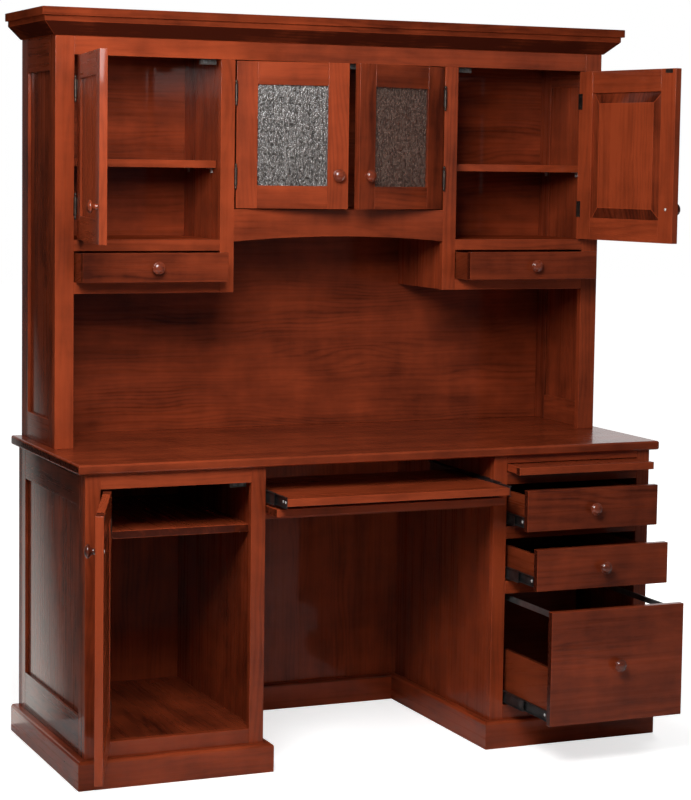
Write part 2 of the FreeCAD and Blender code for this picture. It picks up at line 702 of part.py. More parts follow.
def hutch_drawers():
    """Small drawers that run on their decks between wooden guides."""
    gap = 1.5
    for side, name, out in ((-1, "left", HUTCH_LEFT_OUT), (1, "right", HUTCH_RIGHT_OUT)):
        node = f"{name}_hutch_drawer"
        face = HUTCH_FRONT - out
        front_x = sorted(sided(side, SIDE_IN + REVEAL, SIDE_OUT - REVEAL))
        front_z = (HUTCH_DRAWER_Z[0] + REVEAL, HUTCH_DRAWER_Z[1] - REVEAL)
        add(f"{node}_front", block(front_x, (face, face + BOARD), front_z))
        add(f"{node}_front", knob(sum(front_x) / 2, face, sum(front_z) / 2))
        box_x = (front_x[0] + 2, front_x[1] - 2)
        box_y = (face + BOARD, face + BOARD + HUTCH_DRAWER_L)
        low = HUTCH_DRAWER_Z[0] + RUNNING_GAP
        add(f"{node}_box", *drawer_box(box_x, box_y, (low, low + HUTCH_BOX_H), bottom_lift=4.0))
        guide_y = (HUTCH_FRAME_BACK, HUTCH_FRAME_BACK + HUTCH_DRAWER_L)
        guide_z = (HUTCH_DRAWER_Z[0], HUTCH_DRAWER_Z[0] + 25)
        for span in ((PARTITION[1], SIDE_IN + REVEAL + 2 - gap), (SIDE_OUT - REVEAL - 2 + gap, HUTCH_IN)):
            add("wooden_runners", block(sided(side, *span), guide_y, guide_z))


def doors():
    """Two panelled doors and two glass doors in the hutch, and the cupboard door below."""
    side_x = (-SIDE_OUT, -SIDE_IN)
    side_z = (SIDE_DOOR_LOW, HUTCH_RAIL_LOW)
    side_knob = SIDE_DOOR_LOW + 89
    hinged_door("left_hutch_door", side_x, side_z, HUTCH_FRONT, LEFT_DOOR_ANGLE, side_knob)
    hinged_door("right_hutch_door", side_x, side_z, HUTCH_FRONT, RIGHT_DOOR_ANGLE, side_knob, right=True)
    glass_x = (-CENTRE_X, REVEAL / 2)
    glass_z = (CENTRE_DOOR_LOW, HUTCH_RAIL_LOW)
    glass_knob = CENTRE_DOOR_LOW + 88
    hinged_door("left_glass_door", glass_x, glass_z, HUTCH_FRONT, GLASS_LEFT_ANGLE, glass_knob, True)
    hinged_door(
        "right_glass_door", glass_x, glass_z, HUTCH_FRONT, GLASS_RIGHT_ANGLE, glass_knob, True, right=True
    )
    cpu_x = (-OPEN_OUT, -OPEN_IN)
    cpu_knob = CPU_OPENING_Z[1] - 84
    hinged_door("cupboard_door", cpu_x, CPU_OPENING_Z, BASE_FRONT, CPU_DOOR_ANGLE, cpu_knob)


def main():
    desktop()
    base_case()
    base_face_frame()
    shelves()
    pedestal_drawers()
    writing_board()
    keyboard_tray()
    drop_front()
    hutch_case()
    hutch_front()
    hutch_drawers()
    doors()
    os.makedirs("parts", exist_ok=True)
    for node, solids in NODES.items():
        shape = solids[0] if len(solids) == 1 else Part.makeCompound(solids)
        shape.exportStep(os.path.join("parts", f"{node}.step"))
    print(len(NODES), "nodes,", sum(len(solids) for solids in NODES.values()), "solids")


main()
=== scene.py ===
"""Looks of a cherry computer desk with a hutch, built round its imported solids."""

import json
import math
import random

import bmesh
import bpy
from mathutils import Matrix, Vector


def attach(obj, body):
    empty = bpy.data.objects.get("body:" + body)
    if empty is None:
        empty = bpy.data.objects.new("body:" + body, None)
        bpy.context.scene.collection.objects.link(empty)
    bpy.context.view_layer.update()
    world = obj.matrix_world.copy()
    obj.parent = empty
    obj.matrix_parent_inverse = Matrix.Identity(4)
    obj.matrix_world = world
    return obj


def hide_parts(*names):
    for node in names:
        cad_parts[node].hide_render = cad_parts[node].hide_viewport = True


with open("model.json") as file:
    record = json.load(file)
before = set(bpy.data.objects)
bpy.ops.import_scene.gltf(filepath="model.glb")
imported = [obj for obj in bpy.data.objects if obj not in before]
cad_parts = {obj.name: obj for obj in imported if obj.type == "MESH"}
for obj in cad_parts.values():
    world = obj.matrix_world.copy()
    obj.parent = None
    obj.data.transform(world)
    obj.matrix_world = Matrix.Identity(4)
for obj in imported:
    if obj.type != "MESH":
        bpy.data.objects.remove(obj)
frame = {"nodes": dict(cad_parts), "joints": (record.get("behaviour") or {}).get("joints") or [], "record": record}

bl_info = {
    "name": "Cherry Computer Desk",
    "version": (1, 0, 0),
    "blender": (4, 5, 0),
    "location": "View3D > Sidebar > Desk",
    "description": "Dresses the solids of a cherry computer desk and lights it in a plain studio",
    "category": "Object",
}

MM = 0.001
UP = Vector((0, 0, 1))
WHITE = (1.0, 1.0, 1.0, 1.0)

# What the frame says of the desk and its nodes
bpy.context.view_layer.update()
RECORD = frame["record"]
NODE_BODY = {
    node: body
    for body, nodes in RECORD["behaviour"]["bodies"].items()
    for node in nodes
}
NODE_SLOT = {part["node"]: part["material_slot"] for part in RECORD["subparts"]}

# Bodies and nodes that are dressed alike
DOORS = ("left_hutch_door", "right_hutch_door", "left_glass_door", "right_glass_door", "cupboard_door")
DRAWERS = ("upper_drawer", "middle_drawer", "file_drawer", "left_hutch_drawer", "right_hutch_drawer")
SLIDING = ("upper_drawer", "middle_drawer", "file_drawer", "tray")
BASE_NODES = (
    "desktop", "base_end_frames", "base_face_frame", "base_back_panels", "pedestal_gables",
    "pedestal_floors", "plinth", "wooden_runners",
)
HUTCH_NODES = (
    "hutch_end_frames", "hutch_face_frame", "hutch_back", "hutch_partitions", "hutch_decks",
    "arched_rail", "crown_moulding", "shelves", "end_panels",
)
PULL_OUT_NODES = ("writing_board", "keyboard_tray", "drop_front")
OILED_NODES = ("crown_moulding", "hutch_decks")

# How the solids are read: digits of a metre, sizes that tell solids apart, and cosines between directions
POSITION_DIGITS = 6
KNOB_EXTENT = 40 * MM
KNOB_FOOT_SLACK = 0.1 * MM
LEAF_HEIGHT = 30 * MM
ACROSS_COSINE = 0.1
FACING_COSINE = 0.99

# Angles between faces up to which they are one flat, and past which an edge is eased or shades as a crease
FLAT_ANGLE = math.radians(0.5)
SHARP_ANGLE = math.radians(10)
CREASE_ANGLE = math.radians(12)
SMOOTH_LIMIT = math.radians(50)

# How light the wood is painted, from 0 to 1, where a node departs from the middle: partly how light its stain came
# out, partly painted light and shade, lighter on parts that the key lamp lights, such as the cupboard door's edge,
# the tray and the drop front, and darker on parts that face away from it or lie in shade, such as the right glass
# door's frame, the drawer fronts and the desktop
NODE_TONE_AND_PAINTED_LIGHT = {
    "desktop": 0.24,
    "base_face_frame": 0.56,
    "base_end_frames": 0.12,
    "base_back_panels": 0.44,
    "pedestal_gables": 0.34,
    "pedestal_floors": 0.12,
    "plinth": 0.48,
    "shelves": 0.74,
    "end_panels": 0.25,
    "hutch_face_frame": 0.58,
    "hutch_end_frames": 0.25,
    "hutch_back": 0.34,
    "arched_rail": 0.36,
    "crown_moulding": 0.24,
    "left_glass_door_frame": 0.57,
    "right_glass_door_frame": 0.12,
    "right_hutch_door_frame": 0.58,
    "right_hutch_door_panel": 0.62,
    "cupboard_door_frame": 0.82,
    "left_hutch_drawer_front": 0.16,
    "right_hutch_drawer_front": 0.12,
    "upper_drawer_front": 0.20,
    "middle_drawer_front": 0.25,
    "file_drawer_front": 0.28,
    "keyboard_tray": 0.80,
    "drop_front": 0.80,
}
MIDDLE_TONE = 0.5
KNOB_TONE = 0.14
TONE_SPREAD = 0.12

# How much darker the wood is painted on end grain, where the stain takes deeper, and as painted shade on slopes
# that lean out of a board's face by these cosines
END_GRAIN = 3.4
SLOPE_SHADE = 0.5
SLOPE_COSINES = (0.2, 0.995)

# Where a board's middle lies from the heart of its tree: metres along, across and through the board
HEART_RANGES = ((-20, 20), (-0.05, 0.05), (0.03, 0.09))

# Noises of the wood by scale, detail and roughness, with the first axis along the grain
WOOD_NOISES = {
    "drift": ((1.4, 5.0, 5.0), 2.0, 0.5),
    "waver": ((6.0, 28.0, 28.0), 3.0, 0.5),
    "fade": ((2.0, 14.0, 14.0), 1.0, 0.5),
    "band": ((1.5, 26.0, 26.0), 2.0, 0.5),
    "streak": ((2.0, 90.0, 90.0), 4.0, 0.6),
    "fibre": ((12.0, 700.0, 700.0), 2.0, 0.5),
    "blotch": ((6.0, 13.0, 13.0), 4.0, 0.55),
    "ripple": ((26.0, 7.0, 7.0), 2.0, 0.5),
    "pores": ((50.0, 1700.0, 1700.0), 1.0, 0.5),
}
# How far the growth rings wander, in metres, and the spans of noise in which they fade and pores open
RING_WANDER = {"drift": 0.16, "waver": 0.018}
RING_FADE = (0.40, 0.66, 0.15, 1.0)
PORE_SPAN = (0.62, 0.72, 0.0, 1.0)
# What each effect adds to the shade, from 0 for dark to 1 for light, some of them counted from their middle; the
# tone brings each node's painted light and shade, the edge a painted highlight on eased edges with the stain worn
# thin there, and the end darker stain on end grain and painted shade on shaped slopes
MIDDLE_SHADE = 0.74
SHADE_WEIGHTS = {
    "late": -0.20, "band": 0.60, "streak": 0.32, "blotch": 1.15, "ripple": 0.32, "fibre": 0.18,
    "tone": 0.9, "edge": 0.16, "end": -0.85, "pores": -0.16,
}
FROM_MIDDLE = ("band", "streak", "blotch", "ripple", "fibre", "tone")
# Roughness and height of the wood, and strength and depth of its bump
WOOD_ROUGHNESS = 0.22
ROUGHNESS_WEIGHTS = {"streak": 0.12, "pores": 0.10}
HEIGHT_WEIGHTS = {"fibre": 0.25, "pores": -0.6}
WOOD_BUMP = (0.06, 0.6 * MM)
# Layers that a board's mesh stores for the wood, with the output that reads each
WOOD_LAYERS = {"grain": "Vector", "tone": "Fac", "edge": "Fac", "end": "Fac"}

# Metal: its noises, where its finish is rubbed, how uneven it shines, and its bump
METAL_NOISES = {
    "cloud": ((45.0, 45.0, 45.0), 4.0, 0.6),
    "grit": ((900.0, 900.0, 900.0), 2.0, 0.5),
}
RUB_WEIGHTS = {"grit": 0.35}
RUB_SPAN = (0.62, 0.95, 0.0, 0.8)
UNEVEN_SHINE = 0.35
METAL_BUMP = (0.08, 0.2 * MM)

# Glass: its noises, what the reeds add to its height and to its painted glints, light specks that stand in for the
# lamp caught in the streaks, its roughness and its bump
GLASS_NOISES = {
    "streaks": ((280.0, 280.0, 120.0), 2.0, 0.5),
    "reeds": ((240.0, 240.0, 12.0), 2.0, 0.5),
}
RELIEF_WEIGHTS = {"reeds": 0.7}
GLINT_WEIGHTS = {"reeds": 0.35}
GLINT_SPAN = (0.60, 0.80, 0.0, 1.0)
GLASS_ROUGHNESS = (0.3, 0.7, 0.30, 0.20)
GLASS_DEPTH = 2.2 * MM

# Turned pieces: how many flats a knob, a finial or knob screw, and a small screw have round them
KNOB_STEPS = 40
TIP_STEPS = 20
SCREW_STEPS = 16

# Screws of a hinge's leaf: radius, and distance from its middle as a share of its height
LEAF_SCREW_RADIUS = 2.4 * MM
LEAF_SCREW_SPREAD = 0.3

# Slides: thickness of the steel, and the screws' places from the front end
SLIDE_SHEET = 1.2 * MM
SLIDE_SCREWS = (9 * MM, 24 * MM, 190 * MM, 330 * MM)

# Poles of a catch: half size, places as shares of its width and height, depth from its front, easing
POLE_HALF = Vector((5.0, 0.7, 3.6)) * MM
POLE_SHARES = (0.3, 0.7)
POLE_HEIGHT = 0.25
POLE_DEPTH = 1.8 * MM
POLE_EASE = 0.3 * MM

# Floor: how far it lies under the plinth, its tones, and its glow by the distance from the desk
FLOOR_DROP = 0.5 * MM
FLOOR_NOISES = {"cloud": ((0.7, 0.7, 0.7), 2.0, 0.5)}
FLOOR_TONES = ((0.80, 0.80, 0.79, 1.0), (0.84, 0.84, 0.84, 1.0))
FLOOR_GLOW = (0.8, 2.2, 0.68, 1.0)

# Where gloss sees white: from the middle to the right, and from a start to this much farther back
WHITE_RIGHT = (-0.1, 0.3, 0.0, 1.0)
WHITE_DEEPENS = 0.8
FLOOR_WHITE_START = 1.2

# Card behind the left end: its edges, where its light fades along x, and the slant of that fade
CARD_X = (-2.6, -0.79)
CARD_Y = 0.06
CARD_Z = (0.0, 1.9)
CARD_FADE = (-0.91, -0.82)
CARD_SLANT = -0.105
CARD_COLOUR = (1.0, 0.94, 0.88, 1.0)
CARD_HIDDEN_FROM = ("camera", "diffuse", "transmission", "shadow", "volume_scatter")

# Lamps: place, aim and side of each soft box, and those that leave no mirror image in the lacquer
LAMPS = {
    "key": ((-1.08, -1.95, 2.15), (-0.2, -0.4, 1.0), 1.0),
    "fill": ((2.6, -4.6, 2.2), (0.0, -0.3, 0.9), 2.0),
    "back": ((2.2, 2.6, 2.6), (0.2, 0.0, 0.9), 1.5),
}
UNMIRRORED_LAMPS = ("back",)


class DeskWoodSettings(bpy.types.PropertyGroup):
    """Stain, grain and edges of the wood."""

    light: bpy.props.FloatVectorProperty(
        name="Light Cherry", description="Stain on the early wood", subtype="COLOR", size=4,
        default=(0.33, 0.053, 0.0165, 1.0), min=0.0, max=1.0,
    )
    dark: bpy.props.FloatVectorProperty(
        name="Dark Cherry", description="Stain on the late wood and the streaks", subtype="COLOR", size=4,
        default=(0.052, 0.0088, 0.0040, 1.0), min=0.0, max=1.0,
    )
    drawer_light: bpy.props.FloatVectorProperty(
        name="Light Drawer Wood", description="Early wood of the drawer boxes", subtype="COLOR", size=4,
        default=(0.22, 0.038, 0.0120, 1.0), min=0.0, max=1.0,
    )
    drawer_dark: bpy.props.FloatVectorProperty(
        name="Dark Drawer Wood", description="Late wood of the drawer boxes", subtype="COLOR", size=4,
        default=(0.055, 0.009, 0.0036, 1.0), min=0.0, max=1.0,
    )
    edge_round: bpy.props.FloatProperty(
        name="Eased Edge", description="Rounding of each board's edges", unit="LENGTH",
        default=0.0011, min=0.0002, max=0.004,
    )
    ring_spacing: bpy.props.FloatProperty(
        name="Ring Spacing", description="Distance between growth rings", unit="LENGTH",
        default=0.012, min=0.002, max=0.03,
    )


class DeskKnobSettings(bpy.types.PropertyGroup):
    """Turned knobs."""

    radius: bpy.props.FloatProperty(
        name="Knob Radius", description="Widest radius of a knob", unit="LENGTH",
        default=0.016, min=0.008, max=0.03,
    )
    height: bpy.props.FloatProperty(
        name="Knob Height", description="How far a knob stands out", unit="LENGTH",
        default=0.025, min=0.01, max=0.05,
    )


class DeskFittingSettings(bpy.types.PropertyGroup):
    """Metal fittings."""

    finial: bpy.props.FloatProperty(
        name="Finial Length", description="Length of the tips above and below a hinge", unit="LENGTH",
        default=0.012, min=0.004, max=0.03,
    )
    screw_radius: bpy.props.FloatProperty(
        name="Screw Radius", description="Radius of the screw heads on slides and behind knobs",
        unit="LENGTH", default=0.0042, min=0.001, max=0.006,
    )
    slide_colour: bpy.props.FloatVectorProperty(
        name="Slide Colour", description="Black finish of the drawer slides", subtype="COLOR", size=4,
        default=(0.022, 0.021, 0.022, 1.0), min=0.0, max=1.0,
    )
    hinge_colour: bpy.props.FloatVectorProperty(
        name="Hinge Colour", description="Dark bronze of the hinges", subtype="COLOR", size=4,
        default=(0.045, 0.036, 0.032, 1.0), min=0.0, max=1.0,
    )


class DeskGlassSettings(bpy.types.PropertyGroup):
    """Textured panes of the two centre doors: one glass, painted in two lights, with bright painted glints on a
    dark painted ground on the left pane, which catches the key lamp, and duller ones on the right.
    """

    left_glint: bpy.props.FloatVectorProperty(
        name="Left Pane", description="Streaks of the left pane", subtype="COLOR", size=4,
        default=(0.63, 0.58, 0.55, 1.0), min=0.0, max=1.0,
    )
    left_ground_shade: bpy.props.FloatVectorProperty(
        name="Left Pane Ground", description="Glass between the left pane's streaks",
        subtype="COLOR", size=4, default=(0.060, 0.042, 0.034, 1.0), min=0.0, max=1.0,
    )
    right_glint: bpy.props.FloatVectorProperty(
        name="Right Pane", description="Streaks of the right pane", subtype="COLOR", size=4,
        default=(0.47, 0.315, 0.25, 1.0), min=0.0, max=1.0,
    )
    right_ground_shade: bpy.props.FloatVectorProperty(
        name="Right Pane Ground", description="Glass between the right pane's streaks",
        subtype="COLOR", size=4, default=(0.14, 0.086, 0.066, 1.0), min=0.0, max=1.0,
    )
    relief: bpy.props.FloatProperty(
        name="Relief", description="Strength of the glass's streaks and seeds",
        default=0.85, min=0.0, max=1.0, subtype="FACTOR",
    )


class DeskStageSettings(bpy.types.PropertyGroup):
    """Camera, lamps, card and floor."""

    camera_place: bpy.props.FloatVectorProperty(
        name="Camera Place", description="Where the camera stands", subtype="TRANSLATION", unit="LENGTH",
        default=(-2.2655, -5.5549, 1.4885),
    )
    camera_yaw: bpy.props.FloatProperty(
        name="Camera Yaw", description="Turn to the right from straight ahead", subtype="ANGLE",
        default=math.radians(23.5144),
    )
    camera_pitch: bpy.props.FloatProperty(
        name="Camera Pitch", description="Tilt above the horizon", subtype="ANGLE",
        default=math.radians(-5.0921),
    )
    camera_roll: bpy.props.FloatProperty(
        name="Camera Roll", description="Turn about the line of sight", subtype="ANGLE",
        default=math.radians(0.8063),
    )
    camera_lens: bpy.props.FloatProperty(
        name="Camera Lens", description="Focal length in millimetres", subtype="DISTANCE_CAMERA",
        default=99.8919,
    )
    camera_shift: bpy.props.FloatProperty(
        name="Camera Shift", description="Vertical shift of the picture", default=-0.05,
    )
    key_power: bpy.props.FloatProperty(
        name="Key Power", description="Power of the lamp at the front left", unit="POWER",
        default=51.0, min=0.0,
    )
    fill_power: bpy.props.FloatProperty(
        name="Fill Power", description="Power of the lamp at the front right", unit="POWER",
        default=2.0, min=0.0,
    )
    back_power: bpy.props.FloatProperty(
        name="Back Power", description="Power of the lamp behind", unit="POWER", default=60.0, min=0.0,
    )
    card_glow: bpy.props.FloatProperty(
        name="Card Glow", description="How bright the card is that shows in the left end's lacquer",
        default=1.8, min=0.0, max=5.0,
    )
    ambient: bpy.props.FloatProperty(
        name="Ambient", description="Soft light from all round", default=0.10, min=0.0, max=2.0,
    )
    floor_half: bpy.props.FloatProperty(
        name="Floor Reach", description="Half the width of the floor", unit="LENGTH", default=20.0, min=2.0,
    )


class DeskSettings(bpy.types.PropertyGroup):
    """Everything about the desk's looks that a user would change."""

    wood: bpy.props.PointerProperty(
        type=DeskWoodSettings, name="Wood", description="Wood of the desk",
    )
    knobs: bpy.props.PointerProperty(
        type=DeskKnobSettings, name="Knobs", description="Knobs of the desk",
    )
    fittings: bpy.props.PointerProperty(
        type=DeskFittingSettings, name="Fittings", description="Metal fittings",
    )
    glass: bpy.props.PointerProperty(
        type=DeskGlassSettings, name="Glass", description="Glass of the centre doors",
    )
    stage: bpy.props.PointerProperty(
        type=DeskStageSettings, name="Stage", description="Camera, lamps, card and floor",
    )


def settings():
    """The desk's settings in this scene."""
    return bpy.context.scene.cherry_desk


# Shader nodes


def node(tree, kind, inputs=None, **options):
    """A new shader node. Inputs are values or other nodes' sockets, by name or number."""
    made = tree.nodes.new(kind)
    for name, value in options.items():
        setattr(made, name, value)
    for socket, value in (inputs or {}).items():
        if isinstance(value, bpy.types.NodeSocket):
            tree.links.new(value, made.inputs[socket])
        else:
            made.inputs[socket].default_value = value
    return made


def calc(tree, operation, *values):
    """The result of a Math node."""
    made = node(tree, "ShaderNodeMath", dict(enumerate(values)), operation=operation)
    return made.outputs[0]


def summed(tree, total, effects, weights):
    """A total with named effects added to it, each times its weight."""
    for label, weight in weights.items():
        total = calc(tree, "MULTIPLY_ADD", effects[label], weight, total)
    return total


def noises(tree, place, table):
    """Noise textures at a place, by the names in a table of their scales, detail and roughness."""
    made = {}
    for label, (scales, detail, roughness) in table.items():
        vector = node(tree, "ShaderNodeVectorMath", {0: place, 1: scales}, operation="MULTIPLY").outputs[0]
        inputs = {"Vector": vector, "Scale": 1.0, "Detail": detail, "Roughness": roughness}
        made[label] = node(tree, "ShaderNodeTexNoise", inputs).outputs[0]
    return made


def mixed(tree, factor, first, second):
    """Two colours mixed, through the sockets that the node has for colours."""
    made = node(tree, "ShaderNodeMix", {0: factor, 6: first, 7: second}, data_type="RGBA")
    return made.outputs[2]


def remapped(tree, value, low, high, to_low, to_high):
    """A value moved from one span to another and held there."""
    inputs = {0: value, 1: low, 2: high, 3: to_low, 4: to_high}
    return node(tree, "ShaderNodeMapRange", inputs).outputs[0]


def place_on_object(tree):
    """Coordinates that stay with the piece."""
    return node(tree, "ShaderNodeTexCoord").outputs["Object"]


def surface_group(name, vectors=(), colours=(), values=()):
    """A new shader group that gives a surface's colour, roughness and height, with its two end nodes."""
    group = bpy.data.node_groups.new(name, "ShaderNodeTree")
    for kind, labels in (("Vector", vectors), ("Color", colours), ("Float", values)):
        for label in labels:
            group.interface.new_socket(label, in_out="INPUT", socket_type=f"NodeSocket{kind}")
    for label, kind in (("Color", "Color"), ("Roughness", "Float"), ("Height", "Float")):
        group.interface.new_socket(label, in_out="OUTPUT", socket_type=f"NodeSocket{kind}")
    return group, group.nodes.new("NodeGroupInput"), group.nodes.new("NodeGroupOutput")


def give(tree, end, colour, roughness, height):
    """Joins a group's results to its outputs."""
    for label, socket in (("Color", colour), ("Roughness", roughness), ("Height", height)):
        tree.links.new(socket, end.inputs[label])


def grain_group():
    """Growth rings, streaks, pores and blotches of cherry along a board's own axes, with the painted light and
    shade that a board's tone, eased edges and slopes bring.
    """
    name = "Cherry Grain"
    if name in bpy.data.node_groups:
        return bpy.data.node_groups[name]
    tree, start, end = surface_group(
        name, vectors=("Grain",), colours=("Light", "Dark"), values=("Tone", "Edge", "End", "Ring Spacing"),
    )
    effects = noises(tree, start.outputs["Grain"], WOOD_NOISES)
    for label in ("Tone", "Edge", "End"):
        effects[label.lower()] = start.outputs[label]

    parts = node(tree, "ShaderNodeSeparateXYZ", {0: start.outputs["Grain"]})
    across = summed(tree, parts.outputs[1], effects, RING_WANDER)
    square = calc(tree, "MULTIPLY", across, across)
    deep = calc(tree, "MULTIPLY", parts.outputs[2], parts.outputs[2])
    radius = calc(tree, "SQRT", calc(tree, "ADD", square, deep))
    turns = calc(tree, "DIVIDE", radius, start.outputs["Ring Spacing"])
    wave = calc(tree, "SINE", calc(tree, "MULTIPLY", turns, 2 * math.pi))
    ring = calc(tree, "MULTIPLY_ADD", wave, 0.5, 0.5)
    fade = remapped(tree, effects["fade"], *RING_FADE)
    effects["late"] = calc(tree, "MULTIPLY", calc(tree, "POWER", ring, 2.0), fade)
    effects["pores"] = remapped(tree, effects["pores"], *PORE_SPAN)

    uneven = {label: calc(tree, "SUBTRACT", effects[label], 0.5) for label in FROM_MIDDLE}
    shade = summed(tree, MIDDLE_SHADE, {**effects, **uneven}, SHADE_WEIGHTS)
    shade = remapped(tree, shade, 0.0, 1.0, 0.0, 1.0)
    colour = mixed(tree, shade, start.outputs["Dark"], start.outputs["Light"])
    roughness = summed(tree, WOOD_ROUGHNESS, effects, ROUGHNESS_WEIGHTS)
    height = summed(tree, effects["streak"], effects, HEIGHT_WEIGHTS)
    give(tree, end, colour, roughness, height)
    return tree


def metal_group():
    """Uneven tone and gloss of a plated or painted metal, with rubbed spots."""
    name = "Rubbed Metal"
    if name in bpy.data.node_groups:
        return bpy.data.node_groups[name]
    tree, start, end = surface_group(
        name, vectors=("Place",), colours=("Finish", "Rubbed"), values=("Base Roughness",),
    )
    effects = noises(tree, start.outputs["Place"], METAL_NOISES)
    rub = remapped(tree, summed(tree, effects["cloud"], effects, RUB_WEIGHTS), *RUB_SPAN)
    colour = mixed(tree, rub, start.outputs["Finish"], start.outputs["Rubbed"])
    uneven = calc(tree, "SUBTRACT", effects["cloud"], 0.5)
    roughness = calc(tree, "MULTIPLY_ADD", uneven, UNEVEN_SHINE, start.outputs["Base Roughness"])
    give(tree, end, colour, roughness, effects["grit"])
    return tree


def glass_group():
    """Raised streaks and seeds of textured glass, with painted glints: the streaks are painted lighter."""
    name = "Streaked Glass"
    if name in bpy.data.node_groups:
        return bpy.data.node_groups[name]
    tree, start, end = surface_group(name, vectors=("Place",), colours=("Ground", "Tint"))
    effects = noises(tree, start.outputs["Place"], GLASS_NOISES)
    # Painted glints: the streaks are painted lighter, for the lamp caught in them
    specks = remapped(tree, summed(tree, effects["streaks"], effects, GLINT_WEIGHTS), *GLINT_SPAN)
    colour = mixed(tree, specks, start.outputs["Ground"], start.outputs["Tint"])
    roughness = remapped(tree, effects["streaks"], *GLASS_ROUGHNESS)
    height = summed(tree, effects["streaks"], effects, RELIEF_WEIGHTS)
    give(tree, end, colour, roughness, height)
    return tree


# Materials


def new_material(name, finish):
    """A material with only a Principled shader, which has some inputs set, and its output."""
    material = bpy.data.materials.new(name)
    material.use_nodes = True
    tree = material.node_tree
    tree.nodes.clear()
    shader = node(tree, "ShaderNodeBsdfPrincipled", finish)
    node(tree, "ShaderNodeOutputMaterial", {"Surface": shader.outputs[0]})
    return material, tree, shader


def give_surface(tree, shader, group, inputs, strength, depth):
    """Joins a surface group's colour, roughness and, through a bump, its height to the shader."""
    surface = node(tree, "ShaderNodeGroup", inputs, node_tree=group)
    tree.links.new(surface.outputs["Color"], shader.inputs["Base Color"])
    tree.links.new(surface.outputs["Roughness"], shader.inputs["Roughness"])
    relief = {"Strength": strength, "Distance": depth, "Height": surface.outputs["Height"]}
    bump = node(tree, "ShaderNodeBump", relief)
    tree.links.new(bump.outputs[0], shader.inputs["Normal"])


def wood_material(name, sheen, coat, stain=None):
    """Cherry under the case's stain or another one, with the lacquer that its coat says."""
    if name in bpy.data.materials:
        return bpy.data.materials[name]
    wood = settings().wood
    light, dark = stain or (wood.light, wood.dark)
    finish = {"Specular IOR Level": sheen, "Coat Weight": coat, "Coat Roughness": 0.06}
    material, tree, shader = new_material(name, finish)
    inputs = {"Light": light, "Dark": dark, "Ring Spacing": wood.ring_spacing}
    for layer, output in WOOD_LAYERS.items():
        stored = node(tree, "ShaderNodeAttribute", attribute_name=layer)
        inputs[layer.title()] = stored.outputs[output]
    give_surface(tree, shader, grain_group(), inputs, *WOOD_BUMP)
    return material


def cherry():
    """Lacquered cherry of the case, doors and fronts."""
    return wood_material("lacquered_cherry", sheen=0.06, coat=0.35)


def oiled_cherry():
    """Unpolished cherry of the crown and of the hutch's decks and top."""
    return wood_material("oiled_cherry", sheen=0.0, coat=0.0)


def knob_wood():
    """Turned cherry under a brighter lacquer."""
    return wood_material("turned_cherry", sheen=0.3, coat=1.0)


def drawer_wood():
    """Plainer wood of the drawer boxes and runners."""
    wood = settings().wood
    stain = (wood.drawer_light, wood.drawer_dark)
    return wood_material("drawer_box_wood", sheen=0.08, coat=0.0, stain=stain)


def metal_material(name, finish, rubbed, roughness, metallic):
    """Painted, plated or bare metal."""
    if name in bpy.data.materials:
        return bpy.data.materials[name]
    material, tree, shader = new_material(name, {"Metallic": metallic})
    inputs = {
        "Place": place_on_object(tree), "Finish": finish, "Rubbed": rubbed, "Base Roughness": roughness,
    }
    give_surface(tree, shader, metal_group(), inputs, *METAL_BUMP)
    return material


def bronze():
    """Dark bronze of the hinges."""
    colour = settings().fittings.hinge_colour
    return metal_material("dark_bronze", colour, (0.16, 0.11, 0.08, 1), roughness=0.42, metallic=0.85)


def slide_black():
    """Black steel of the drawer slides."""
    colour = settings().fittings.slide_colour
    return metal_material("black_slide_steel", colour, (0.10, 0.10, 0.10, 1), roughness=0.38, metallic=0.5)


def zinc():
    """Bright zinc of the screws and shelf rests."""
    return metal_material(
        "bright_zinc", (0.74, 0.74, 0.72, 1), (0.86, 0.86, 0.84, 1), roughness=0.30, metallic=0.4,
    )


def catch_brown():
    """Brown casing of the magnetic catches."""
    return metal_material(
        "catch_brown", (0.040, 0.030, 0.026, 1), (0.07, 0.055, 0.048, 1), roughness=0.72, metallic=0.0,
    )


def pole_steel():
    """Steel poles of the magnetic catches."""
    return metal_material(
        "pole_steel", (0.12, 0.12, 0.12, 1), (0.3, 0.3, 0.3, 1), roughness=0.4, metallic=1.0,
    )


def file_rail_grey():
    """Grey steel of the hanging-file rails."""
    return metal_material(
        "file_rail_grey", (0.28, 0.28, 0.29, 1), (0.45, 0.45, 0.45, 1), roughness=0.4, metallic=0.9,
    )


def textured_glass(name, ground, glint):
    """Textured glass of one pane, with its own painted glints and ground."""
    material, tree, shader = new_material(name, {"Transmission Weight": 0.75, "IOR": 1.6})
    inputs = {"Place": place_on_object(tree), "Ground": ground, "Tint": glint}
    give_surface(tree, shader, glass_group(), inputs, settings().glass.relief, GLASS_DEPTH)
    return material


# Boards from the solids


def boards_of(node_name):
    """The closed solids of a CAD node, each as a list of polygons of points.

    Faces come solid by solid, so a solid is whole when each of its edges has met its twin."""
    mesh = frame["nodes"][node_name].data
    places = [tuple(round(c, POSITION_DIGITS) for c in vertex.co) for vertex in mesh.vertices]
    boards, current, open_edges = [], [], set()
    for polygon in mesh.polygons:
        corners = [places[index] for index in polygon.vertices]
        current.append(corners)
        for start, stop in zip(corners, corners[1:] + corners[:1]):
            if start != stop:
                open_edges ^= {frozenset((start, stop))}
        if not open_edges:
            boards.append(current)
            current = []
    if current:
        raise RuntimeError(f"{node_name} has a solid that does not close")
    return boards


def extent(board):
    """Lowest and highest corner of a board."""
    points = [point for corners in board for point in corners]
    low = Vector([min(point[axis] for point in points) for axis in range(3)])
    high = Vector([max(point[axis] for point in points) for axis in range(3)])
    return low, high


